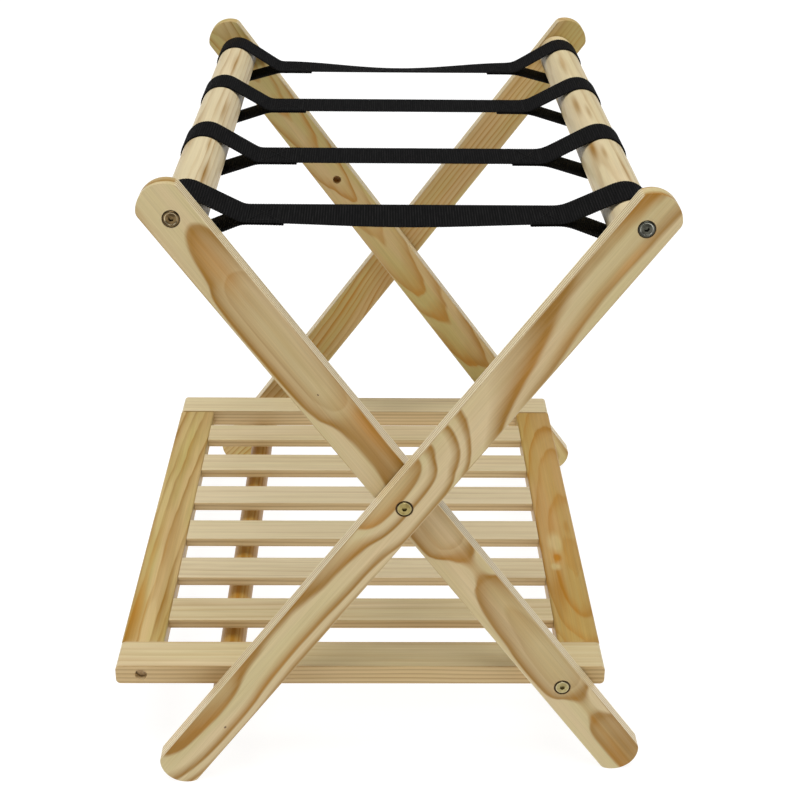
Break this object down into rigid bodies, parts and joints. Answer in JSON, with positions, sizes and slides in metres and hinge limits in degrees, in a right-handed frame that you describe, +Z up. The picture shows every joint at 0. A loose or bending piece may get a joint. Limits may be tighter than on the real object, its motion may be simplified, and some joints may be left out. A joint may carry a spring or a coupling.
{
  "type": "folding luggage rack",
  "caption": "Folding scissor rack of pale wood with webbing straps across the top and a slatted shelf below that swings up to fold.",
  "frame": {"origin": "centre of the open rack's bounding box, on the floor", "axes": "+X right and +Y back seen from the front, +Z up; the rails, pivots and shelf bolts all run along Y"},
  "size_m": [0.462, 0.625, 0.5421],
  "materials": {
    "pine": "clear satin lacquer on straw-coloured pine",
    "beech": "plain turned dowel",
    "bronze": "dark antique bronze plating",
    "brass": "dull brass plating",
    "zinc_steel": "yellow zinc plating",
    "nylon": "natural nylon",
    "webbing": "black ribbed polypropylene webbing"
  },
  "bodies": {
    "inner_frame": {"inner_leg_front": "pine", "inner_leg_back": "pine", "top_rail_left": "pine", "rail_bolt_inner_front": "bronze", "rail_insert_inner_front": "zinc_steel", "rail_pin_inner_front": "beech", "pivot_bolt_front": "brass", "pivot_insert_front": "zinc_steel", "pivot_washer_front": "nylon", "rail_bolt_inner_back": "bronze", "rail_insert_inner_back": "zinc_steel", "rail_pin_inner_back": "beech", "pivot_bolt_back": "brass", "pivot_insert_back": "zinc_steel", "pivot_washer_back": "nylon", "strap_1": "webbing", "strap_2": "webbing", "strap_3": "webbing", "strap_4": "webbing"},
    "outer_frame": {"outer_leg_front": "pine", "outer_leg_back": "pine", "top_rail_right": "pine", "stretcher": "pine", "rail_bolt_outer_front": "bronze", "rail_insert_outer_front": "zinc_steel", "rail_pin_outer_front": "beech", "rail_bolt_outer_back": "bronze", "rail_insert_outer_back": "zinc_steel", "rail_pin_outer_back": "beech"},
    "shelf": {"shelf_rail_front": "pine", "shelf_rail_back": "pine", "shelf_side_left": "pine", "shelf_side_right": "pine", "shelf_slat_1": "pine", "shelf_slat_2": "pine", "shelf_slat_3": "pine", "shelf_slat_4": "pine", "shelf_slat_5": "pine", "shelf_slat_6": "pine", "shelf_dowel_front_left": "beech", "shelf_dowel_front_right": "beech", "shelf_bolt_front": "brass", "shelf_insert_front": "zinc_steel", "shelf_spacer_front": "nylon", "shelf_dowel_back_left": "beech", "shelf_dowel_back_right": "beech", "shelf_bolt_back": "brass", "shelf_insert_back": "zinc_steel", "shelf_spacer_back": "nylon"}
  },
  "joints": [
    {"name": "fold", "type": "hinge", "parent": "inner_frame", "child": "outer_frame", "pos_m": [0.01993, 0, 0.27546], "axis": [0, -1, 0], "range_deg": [0, 64], "deforming": ["strap_1", "strap_2", "strap_3", "strap_4"]},
    {"name": "shelf_swing", "type": "hinge", "parent": "inner_frame", "child": "shelf", "pos_m": [0.15972, 0, 0.08792], "axis": [0, 1, 0], "range_deg": [0, 53.3]}
  ]
}
